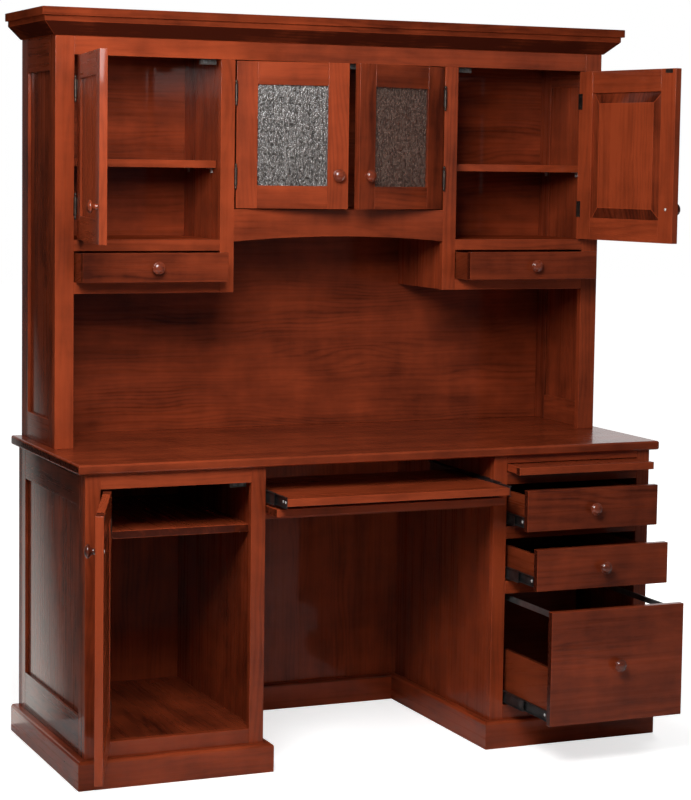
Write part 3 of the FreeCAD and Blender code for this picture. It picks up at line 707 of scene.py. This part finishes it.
def mean(points):
    """The middle of a list of points."""
    return sum(points, Vector()) / len(points)


def is_knob(board):
    """Whether a solid is one of the turned knobs."""
    low, high = extent(board)
    return max(high - low) < KNOB_EXTENT


def board_mesh(board):
    """A board as a clean bmesh, with each flat face in one piece."""
    bm = bmesh.new()
    made = {}
    for corners in board:
        loop = []
        for point in corners:
            if point not in made:
                made[point] = bm.verts.new(point)
            if made[point] not in loop:
                loop.append(made[point])
        if len(loop) > 2 and bm.faces.get(loop) is None:
            bm.faces.new(loop)
    bmesh.ops.recalc_face_normals(bm, faces=bm.faces)
    bm.normal_update()
    bmesh.ops.dissolve_limit(bm, angle_limit=FLAT_ANGLE, verts=bm.verts, edges=bm.edges)
    bm.normal_update()
    return bm


def board_axes(bm):
    """Directions along the grain, across it and through the thickness of a board."""
    edges = sorted(bm.edges, key=lambda edge: -edge.calc_length())
    ways = [(edge.verts[1].co - edge.verts[0].co).normalized() for edge in edges]
    along = ways[0]
    across = along.orthogonal().normalized()
    for way in ways:
        if abs(way.dot(along)) < ACROSS_COSINE:
            across = (way - along * way.dot(along)).normalized()
            break
    return along, across, along.cross(across)


def board_spans(bm):
    """A board's three directions, each with how far the board reaches along it."""
    spans = []
    for axis in board_axes(bm):
        reach = [vert.co.dot(axis) for vert in bm.verts]
        spans.append((axis, max(reach) - min(reach)))
    return spans


def round_edges(bm, edges, size):
    """Rounds edges of a bmesh."""
    bmesh.ops.bevel(
        bm, geom=edges, offset=size, offset_type="OFFSET", segments=2, profile=0.5,
        affect="EDGES", clamp_overlap=True,
    )


def ease_edges(bm, size):
    """Rounds a board's outer edges and returns the narrow faces that came of it."""
    sharp = [edge for edge in bm.edges if len(edge.link_faces) == 2 and edge.is_convex]
    sharp = [edge for edge in sharp if edge.calc_face_angle() > SHARP_ANGLE]
    round_edges(bm, sharp, size)
    narrow = set()
    for face in bm.faces:
        longest = max(edge.calc_length() for edge in face.edges)
        if face.calc_area() < size * longest:
            narrow.add(face)
    return narrow


def stain_and_shade_depth(normal, axes):
    """How much darker a face is painted: most on end grain, where the stain takes deeper, and some on a shaped
    slope, as painted shade.
    """
    low, high = SLOPE_COSINES
    slope = SLOPE_SHADE if low < abs(normal.dot(axes[2])) < high else 0.0
    return min(1.0, max(slope, END_GRAIN * abs(normal.dot(axes[0]))))


def write_grain(bm, axes, draw, board_tone_and_light, eased=frozenset(), crease=SMOOTH_LIMIT, turned_piece=False):
    """Stores the board's own coordinates, its tone with painted light and shade, its eased edges for a painted
    highlight, and its end grain and shaped slopes for darker stain and painted shade, for the wood's shader.
    """
    grain = bm.verts.layers.float_vector.new("grain")
    tone = bm.verts.layers.float.new("tone")
    edge = bm.loops.layers.float.new("edge")
    end = bm.loops.layers.float.new("end")
    middle = mean([vert.co for vert in bm.verts])
    heart = Vector([draw.uniform(*limits) for limits in HEART_RANGES])
    shade = board_tone_and_light + draw.uniform(-TONE_SPREAD, TONE_SPREAD)
    for vert in bm.verts:
        apart = vert.co - middle
        vert[grain] = Vector([apart.dot(axis) for axis in axes]) + heart
        vert[tone] = shade
    for face in bm.faces:
        face.smooth = True
        # End grain is darker from deeper stain, and shaped slopes darker as painted shade
        cut = 0.0 if turned_piece or face in eased else stain_and_shade_depth(face.normal, axes)
        for loop in face.loops:
            # Eased faces carry a painted highlight, with the stain worn thin there
            loop[edge] = 1.0 if face in eased else 0.0
            loop[end] = cut
    for line in bm.edges:
        limit = SMOOTH_LIMIT if eased.intersection(line.link_faces) else crease
        if len(line.link_faces) == 2 and line.calc_face_angle(0.0) > limit:
            line.smooth = False


def gathered(bms):
    """One mesh of several bmeshes."""
    mesh = bpy.data.meshes.new("gathered")
    whole = bmesh.new()
    for bm in bms:
        bm.to_mesh(mesh)
        whole.from_mesh(mesh)
        bm.free()
    whole.to_mesh(mesh)
    whole.free()
    return mesh


def put_piece(name, mesh, material, body, stands_for=()):
    """A piece in the scene that rides on a body."""
    mesh.name = name
    mesh.materials.clear()
    mesh.materials.append(material)
    piece = bpy.data.objects.new(name, mesh)
    bpy.context.scene.collection.objects.link(piece)
    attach(piece, body)
    if stands_for:
        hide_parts(*stands_for)
    return piece


def wood_of(node_name):
    """The wood that a node is made of."""
    if NODE_SLOT[node_name] == "drawer_wood":
        return drawer_wood()
    return oiled_cherry() if node_name in OILED_NODES else cherry()


def dress(node_name):
    """Replaces a wooden node by the same boards with eased edges and their own grain."""
    draw = random.Random(node_name)
    size = settings().wood.edge_round
    bms = []
    for board in boards_of(node_name):
        if is_knob(board):
            continue
        bm = board_mesh(board)
        axes = board_axes(bm)
        eased = ease_edges(bm, size)
        # The node's tone brings painted light and shade along with its stain
        write_grain(bm, axes, draw, NODE_TONE_AND_PAINTED_LIGHT.get(node_name, MIDDLE_TONE), eased, CREASE_ANGLE)
        bms.append(bm)
    body, slot = NODE_BODY[node_name], NODE_SLOT[node_name]
    piece = put_piece(f"{node_name}_boards", gathered(bms), wood_of(node_name), body, [node_name])
    weighted = piece.modifiers.new("even_shading", "WEIGHTED_NORMAL")
    weighted.keep_sharp = True


# Turned and small pieces


def turned(profile, foot, axis, steps):
    """A bmesh turned from radii and heights about an axis that starts at the foot."""
    bm = bmesh.new()
    side = axis.orthogonal().normalized()
    front = axis.cross(side)
    rings = []
    for radius, height in profile:
        centre = foot + axis * height
        if radius == 0:
            rings.append([bm.verts.new(centre)])
            continue
        ring = []
        for step in range(steps):
            angle = 2 * math.pi * step / steps
            ring.append(bm.verts.new(centre + (side * math.cos(angle) + front * math.sin(angle)) * radius))
        rings.append(ring)
    for low, high in zip(rings, rings[1:]):
        for step in range(steps):
            after = (step + 1) % steps
            places = ((low, step), (low, after), (high, after), (high, step))
            corners = [ring[place % len(ring)] for ring, place in places]
            bm.faces.new(list(dict.fromkeys(corners)))
    if len(rings[0]) > 1:
        bm.faces.new(list(reversed(rings[0])))
    bmesh.ops.recalc_face_normals(bm, faces=bm.faces)
    for face in bm.faces:
        face.smooth = len(face.verts) <= 4
    return bm


def knob_profile():
    """Half outline of a turned knob: a waisted stem, a rolled rim with a groove, and a low dome."""
    knobs = settings().knobs
    outline = [
        (0.50, 0.00), (0.50, 0.03), (0.46, 0.07), (0.43, 0.16), (0.43, 0.26), (0.48, 0.36), (0.62, 0.45),
        (0.82, 0.52), (0.94, 0.58), (0.99, 0.64), (1.00, 0.69), (0.985, 0.74), (0.94, 0.785), (0.87, 0.81),
        (0.82, 0.80), (0.79, 0.815), (0.74, 0.86), (0.62, 0.92), (0.45, 0.965), (0.24, 0.992), (0.0, 1.0),
    ]
    return [(radius * knobs.radius, height * knobs.height) for radius, height in outline]


def finial_profile(length):
    """Half outline of a hinge's tip: a collar, a neck and a ball, with radii in millimetres."""
    outline = [
        (4.0, 0.0), (4.0, 0.08), (2.3, 0.14), (2.0, 0.24), (2.6, 0.34), (3.2, 0.48), (3.3, 0.60),
        (2.9, 0.76), (1.9, 0.90), (0.9, 0.97), (0.0, 1.0),
    ]
    return [(radius * MM, height * length) for radius, height in outline]


def screw_profile(radius):
    """Half outline of a low round screw head."""
    outline = [(1.0, 0.0), (1.0, 0.08), (0.92, 0.2), (0.7, 0.3), (0.35, 0.36), (0.0, 0.38)]
    return [(wide * radius, high * radius) for wide, high in outline]


def knob_place(node_name):
    """Foot and direction of a node's plain knob, and the thickness of the board that it stands on."""
    boards = boards_of(node_name)
    plain = next(board for board in boards if is_knob(board))
    flat = next(board for board in boards if not is_knob(board))
    bm = board_mesh(flat)
    normal, thickness = min(board_spans(bm), key=lambda pair: pair[1])
    middle = mean([vert.co for vert in bm.verts])
    bm.free()
    points = [Vector(point) for corners in plain for point in corners]
    axis = normal if (mean(points) - middle).dot(normal) > 0 else -normal
    foot_height = min(point.dot(axis) for point in points)
    low, high = extent([[point for point in points if point.dot(axis) < foot_height + KNOB_FOOT_SLACK]])
    return (low + high) / 2, axis, thickness


def turn_knob(node_name, name, screwed):
    """A smooth knob where the node has its plain one, and on a door the screw behind it."""
    foot, axis, thickness = knob_place(node_name)
    knob = turned(knob_profile(), foot, axis, KNOB_STEPS)
    side = axis.orthogonal().normalized()
    write_grain(knob, (axis, side, axis.cross(side)), random.Random(name), KNOB_TONE, turned_piece=True)
    body, slot = NODE_BODY[node_name], NODE_SLOT[node_name]
    put_piece(name, gathered([knob]), knob_wood(), body, [node_name])
    if screwed:
        profile = screw_profile(settings().fittings.screw_radius)
        screw = turned(profile, foot - axis * thickness, -axis, TIP_STEPS)
        put_piece(f"{name}_screw", gathered([screw]), zinc(), body)


def hinge_leaves(hardware):
    """The solids of a door's hardware that are leaves of hinges, each with its lowest and highest point."""
    leaves = []
    for board in boards_of(hardware):
        low, high = extent(board)
        if high.z - low.z > LEAF_HEIGHT:
            leaves.append((board, low.z, high.z))
    return leaves


def leaf_screws(leaf, inward, spread):
    """Heads of the two screws on the side of a hinge's leaf that looks into the cabinet."""
    bm = board_mesh(leaf)
    flats = [face for face in bm.faces if face.normal.dot(inward) > FACING_COSINE]
    flat = max(flats, key=lambda face: face.calc_area())
    middle, normal = flat.calc_center_bounds(), flat.normal.copy()
    bm.free()
    profile = screw_profile(LEAF_SCREW_RADIUS)
    return [turned(profile, middle + UP * side * spread, normal, SCREW_STEPS) for side in (-1, 1)]


def slide_screws(members, profile):
    """Screw heads on the outer sides of a pair of slide members."""
    webs = [extent(board) for board in boards_of(members)]
    middle = mean([point for web in webs for point in web])
    screws = []
    for low, high in webs:
        centre = (low + high) / 2
        way = -1 if centre.x < middle.x else 1
        face = high.x - SLIDE_SHEET if way < 0 else low.x + SLIDE_SHEET
        for start in SLIDE_SCREWS:
            place = Vector((face, low.y + start, centre.z))
            screws.append(turned(profile, place, Vector((way, 0, 0)), SCREW_STEPS))
    return screws


def small_block(low, high, ease):
    """A little block with eased edges."""
    bm = bmesh.new()
    middle, size = (low + high) / 2, high - low
    bmesh.ops.create_cube(bm, size=1.0, matrix=Matrix.Translation(middle) @ Matrix.Diagonal((*size, 1.0)))
    round_edges(bm, list(bm.edges), ease)
    return bm


def catch_poles():
    """The two steel poles in the front of each magnetic catch."""
    poles = []
    for board in boards_of("door_catches"):
        low, high = extent(board)
        for share in POLE_SHARES:
            x = low.x + share * (high.x - low.x)
            z = low.z + POLE_HEIGHT * (high.z - low.z)
            place = Vector((x, low.y + POLE_DEPTH, z))
            poles.append(small_block(place - POLE_HALF, place + POLE_HALF, POLE_EASE))
    return poles


def coat_node(node_name, material):
    """Gives a CAD node that stays as it is its material."""
    mesh = frame["nodes"][node_name].data
    mesh.materials.clear()
    mesh.materials.append(material)


class DESK_OT_dress_base(bpy.types.Operator):
    """Boards of the base: desktop, ends, face frame, backs, floors, runners and plinth"""

    bl_idname = "desk.dress_base"
    bl_label = "Dress Base"

    def execute(self, context):
        for name in BASE_NODES:
            dress(name)
        return {"FINISHED"}


class DESK_OT_dress_hutch(bpy.types.Operator):
    """Boards of the hutch: ends, face frame, back, decks, shelves, arched rail and crown"""

    bl_idname = "desk.dress_hutch"
    bl_label = "Dress Hutch"

    def execute(self, context):
        for name in HUTCH_NODES:
            dress(name)
        return {"FINISHED"}


class DESK_OT_dress_doors(bpy.types.Operator):
    """Frames and raised panels of the five doors"""

    bl_idname = "desk.dress_doors"
    bl_label = "Dress Doors"

    def execute(self, context):
        for door in DOORS:
            dress(f"{door}_frame")
            if f"{door}_panel" in frame["nodes"]:
                dress(f"{door}_panel")
        return {"FINISHED"}


class DESK_OT_dress_drawers(bpy.types.Operator):
    """Fronts and boxes of the five drawers"""

    bl_idname = "desk.dress_drawers"
    bl_label = "Dress Drawers"

    def execute(self, context):
        for drawer in DRAWERS:
            dress(f"{drawer}_front")
            dress(f"{drawer}_box")
        return {"FINISHED"}


class DESK_OT_dress_pull_outs(bpy.types.Operator):
    """Writing board, keyboard tray and drop front"""

    bl_idname = "desk.dress_pull_outs"
    bl_label = "Dress Pull-Outs"

    def execute(self, context):
        for name in PULL_OUT_NODES:
            dress(name)
        return {"FINISHED"}


class DESK_OT_turn_knobs(bpy.types.Operator):
    """Turned knobs of the doors and drawers"""

    bl_idname = "desk.turn_knobs"
    bl_label = "Turn Knobs"

    def execute(self, context):
        for door in DOORS:
            turn_knob(f"{door}_frame", f"{door}_knob", True)
        for drawer in DRAWERS:
            turn_knob(f"{drawer}_front", f"{drawer}_knob", False)
        return {"FINISHED"}


class DESK_OT_fit_glass(bpy.types.Operator):
    """Textured panes of the centre doors"""

    bl_idname = "desk.fit_glass"
    bl_label = "Fit Glass"

    def execute(self, context):
        glass = settings().glass
        left = textured_glass("textured_glass_left", glass.left_ground_shade, glass.left_glint)
        coat_node("left_glass_door_glass", left)
        right = textured_glass("textured_glass_right", glass.right_ground_shade, glass.right_glint)
        coat_node("right_glass_door_glass", right)
        return {"FINISHED"}


class DESK_OT_finish_hinges(bpy.types.Operator):
    """Dark bronze hinges of the doors and the drop front, with a finial at each end of a door hinge's barrel"""

    bl_idname = "desk.finish_hinges"
    bl_label = "Finish Hinges"

    def execute(self, context):
        profile = finial_profile(settings().fittings.finial)
        pins = {joint["child"]: joint["pos_m"] for joint in frame["joints"] if joint["type"] == "hinge"}
        fixed = []
        for door in DOORS:
            coat_node(f"{door}_hardware", bronze())
            x, y, _ = pins[door]
            _, outward, _ = knob_place(f"{door}_frame")
            tips, screws = [], []
            for leaf, low, high in hinge_leaves(f"{door}_hardware"):
                tips.append(turned(profile, Vector((x, y, high)), UP, TIP_STEPS))
                fixed.append(turned(profile, Vector((x, y, low)), -UP, TIP_STEPS))
                screws += leaf_screws(leaf, -outward, LEAF_SCREW_SPREAD * (high - low))
            put_piece(f"{door}_finials", gathered(tips), bronze(), door)
            put_piece(f"{door}_leaf_screws", gathered(screws), bronze(), door)
        put_piece("frame_leaf_finials", gathered(fixed), bronze(), "desk")
        coat_node("hinge_frame_leaves", bronze())
        coat_node("drop_front_hardware", bronze())
        return {"FINISHED"}


class DESK_OT_finish_slides(bpy.types.Operator):
    """Black drawer slides in three members, with bright screws on the members that move with a drawer"""

    bl_idname = "desk.finish_slides"
    bl_label = "Finish Slides"

    def execute(self, context):
        profile = screw_profile(settings().fittings.screw_radius)
        coat_node("slide_cabinet_members", slide_black())
        for name in SLIDING:
            members = f"{name}_slide_members"
            coat_node(members, slide_black())
            coat_node(f"{name}_slide_middles", slide_black())
            screws = gathered(slide_screws(members, profile))
            put_piece(f"{name}_slide_screws", screws, zinc(), NODE_BODY[members])
        return {"FINISHED"}


class DESK_OT_finish_fittings(bpy.types.Operator):
    """Magnetic catches, shelf rests and hanging-file rails"""

    bl_idname = "desk.finish_fittings"
    bl_label = "Finish Fittings"

    def execute(self, context):
        coat_node("door_catches", catch_brown())
        put_piece("catch_poles", gathered(catch_poles()), pole_steel(), "desk")
        coat_node("shelf_rests", zinc())
        coat_node("file_rails", file_rail_grey())
        return {"FINISHED"}


# Stage


def seen_white(tree, place, start=0.0):
    """Where the surroundings look white: all round to the camera and glass, and at the back right to gloss.

    White all round would wash out the lacquer."""
    parts = node(tree, "ShaderNodeSeparateXYZ", {0: place})
    right = remapped(tree, parts.outputs[0], *WHITE_RIGHT)
    back = remapped(tree, parts.outputs[1], start, start + WHITE_DEEPENS, 0.0, 1.0)
    path = node(tree, "ShaderNodeLightPath")
    gloss = calc(tree, "MULTIPLY", path.outputs["Is Glossy Ray"], calc(tree, "MULTIPLY", right, back))
    seen = calc(tree, "MAXIMUM", path.outputs["Is Camera Ray"], path.outputs["Is Transmission Ray"])
    return calc(tree, "MAXIMUM", seen, gloss)


def floor_material():
    """Pale matt surface that looks white to the camera, glass and gloss, and keeps the desk's shadow.

    It glows less near the desk, where the lamps light it."""
    finish = {"Roughness": 0.9, "Specular IOR Level": 0.0, "Emission Color": WHITE}
    material, tree, shader = new_material("studio_floor", finish)
    place = place_on_object(tree)
    pale = mixed(tree, noises(tree, place, FLOOR_NOISES)["cloud"], *FLOOR_TONES)
    tree.links.new(pale, shader.inputs["Base Color"])
    reach = node(tree, "ShaderNodeVectorMath", {0: place}, operation="LENGTH").outputs["Value"]
    glow = remapped(tree, reach, *FLOOR_GLOW)
    glow = calc(tree, "MULTIPLY", glow, seen_white(tree, place, FLOOR_WHITE_START))
    tree.links.new(glow, shader.inputs["Emission Strength"])
    return material


def card_material(glow):
    """Black card with light on it, bright low down beside the desk and dark farther out."""
    finish = {"Base Color": (0, 0, 0, 1), "Specular IOR Level": 0.0, "Emission Color": CARD_COLOUR}
    material, tree, shader = new_material("side_card", finish)
    parts = node(tree, "ShaderNodeSeparateXYZ", {0: place_on_object(tree)})
    slanted = calc(tree, "MULTIPLY_ADD", parts.outputs[2], CARD_SLANT, parts.outputs[0])
    strength = remapped(tree, slanted, *CARD_FADE, 0.0, glow)
    tree.links.new(strength, shader.inputs["Emission Strength"])
    return material


def stage_object(name, bm, material):
    """A bmesh as an object in the scene that rides on no body."""
    mesh = bpy.data.meshes.new(name)
    bm.to_mesh(mesh)
    bm.free()
    mesh.materials.append(material)
    made = bpy.data.objects.new(name, mesh)
    bpy.context.scene.collection.objects.link(made)
    return made


def lay_floor(half):
    """A wide floor just under the plinth."""
    bm = bmesh.new()
    bmesh.ops.create_grid(bm, x_segments=8, y_segments=8, size=half)
    floor = stage_object("studio_floor", bm, floor_material())
    floor.location.z = -FLOOR_DROP


def stand_card(glow):
    """A card behind the left end that shows only in gloss."""
    bm = bmesh.new()
    left, right = CARD_X
    low, high = CARD_Z
    corners = [(left, low), (right, low), (right, high), (left, high)]
    bm.faces.new([bm.verts.new((x, CARD_Y, z)) for x, z in corners])
    card = stage_object("side_card", bm, card_material(glow))
    for ray in CARD_HIDDEN_FROM:
        setattr(card, f"visible_{ray}", False)


def soft_box(name, place, aim, side, power):
    """A square lamp that looks at a point and that the camera does not see."""
    lamp = bpy.data.lights.new(name, "AREA")
    lamp.shape = "SQUARE"
    lamp.size = side
    lamp.energy = power
    lamp_object = bpy.data.objects.new(name, lamp)
    lamp_object.location = place
    lamp_object.visible_camera = False
    lamp_object.rotation_euler = (Vector(aim) - Vector(place)).to_track_quat("-Z", "Y").to_euler()
    bpy.context.scene.collection.objects.link(lamp_object)
    return lamp_object


def studio_world(ambient):
    """A soft even light from all round, which looks white."""
    world = bpy.data.worlds.new("studio")
    world.use_nodes = True
    tree = world.node_tree
    tree.nodes.clear()
    way = node(tree, "ShaderNodeTexCoord").outputs["Generated"]
    strength = remapped(tree, seen_white(tree, way), 0.0, 1.0, ambient, 1.0)
    back = node(tree, "ShaderNodeBackground", {"Color": WHITE, "Strength": strength})
    node(tree, "ShaderNodeOutputWorld", {"Surface": back.outputs[0]})
    bpy.context.scene.world = world


def place_camera(stage):
    """The camera at the photograph's view."""
    camera = bpy.data.cameras.new("camera")
    camera.lens = stage.camera_lens
    camera.sensor_width = 36.0
    camera.shift_y = stage.camera_shift
    camera.clip_end = 100.0
    camera_object = bpy.data.objects.new("camera", camera)
    yaw = Matrix.Rotation(-stage.camera_yaw, 4, "Z")
    pitch = Matrix.Rotation(math.pi / 2 + stage.camera_pitch, 4, "X")
    roll = Matrix.Rotation(stage.camera_roll, 4, "Z")
    camera_object.matrix_world = Matrix.Translation(stage.camera_place) @ yaw @ pitch @ roll
    bpy.context.scene.collection.objects.link(camera_object)
    bpy.context.scene.camera = camera_object


class DESK_OT_set_stage(bpy.types.Operator):
    """Pale floor, card, soft lamps, white surroundings and the camera"""

    bl_idname = "desk.set_stage"
    bl_label = "Set Stage"

    def execute(self, context):
        stage = settings().stage
        context.scene.view_settings.view_transform = "Standard"
        lay_floor(stage.floor_half)
        stand_card(stage.card_glow)
        powers = {"key": stage.key_power, "fill": stage.fill_power, "back": stage.back_power}
        for name, (place, aim, side) in LAMPS.items():
            lamp = soft_box(f"{name}_lamp", place, aim, side, powers[name])
            lamp.visible_glossy = name not in UNMIRRORED_LAMPS
        studio_world(stage.ambient)
        place_camera(stage)
        return {"FINISHED"}


OPERATORS = (
    DESK_OT_dress_base, DESK_OT_dress_hutch, DESK_OT_dress_doors, DESK_OT_dress_drawers,
    DESK_OT_dress_pull_outs, DESK_OT_turn_knobs, DESK_OT_fit_glass, DESK_OT_finish_hinges,
    DESK_OT_finish_slides, DESK_OT_finish_fittings, DESK_OT_set_stage,
)


class DESK_PT_panel(bpy.types.Panel):
    """Sidebar panel with the desk's operators and settings"""

    bl_idname = "DESK_PT_panel"
    bl_label = "Cherry Desk"
    bl_space_type = "VIEW_3D"
    bl_region_type = "UI"
    bl_category = "Desk"

    def draw(self, context):
        for operator in OPERATORS:
            self.layout.operator(operator.bl_idname)
        desk = context.scene.cherry_desk
        for group in (desk.wood, desk.knobs, desk.fittings, desk.glass, desk.stage):
            box = self.layout.box()
            for name in group.bl_rna.properties.keys():
                if name not in ("rna_type", "name"):
                    box.prop(group, name)


CLASSES = (
    DeskWoodSettings, DeskKnobSettings, DeskFittingSettings, DeskGlassSettings, DeskStageSettings,
    DeskSettings, *OPERATORS, DESK_PT_panel,
)


def register():
    """Adds the desk's classes and its settings."""
    for cls in CLASSES:
        bpy.utils.register_class(cls)
    bpy.types.Scene.cherry_desk = bpy.props.PointerProperty(
        type=DeskSettings, name="Cherry Desk", description="Looks of the desk"
    )


def unregister():
    """Takes the settings and the classes away again."""
    del bpy.types.Scene.cherry_desk
    for cls in reversed(CLASSES):
        bpy.utils.unregister_class(cls)


def main():
    """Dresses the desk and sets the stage."""
    register()
    bpy.ops.desk.dress_base()
    bpy.ops.desk.dress_hutch()
    bpy.ops.desk.dress_doors()
    bpy.ops.desk.dress_drawers()
    bpy.ops.desk.dress_pull_outs()
    bpy.ops.desk.turn_knobs()
    bpy.ops.desk.fit_glass()
    bpy.ops.desk.finish_hinges()
    bpy.ops.desk.finish_slides()
    bpy.ops.desk.finish_fittings()
    bpy.ops.desk.set_stage()


if __name__ == "__main__":
    main()
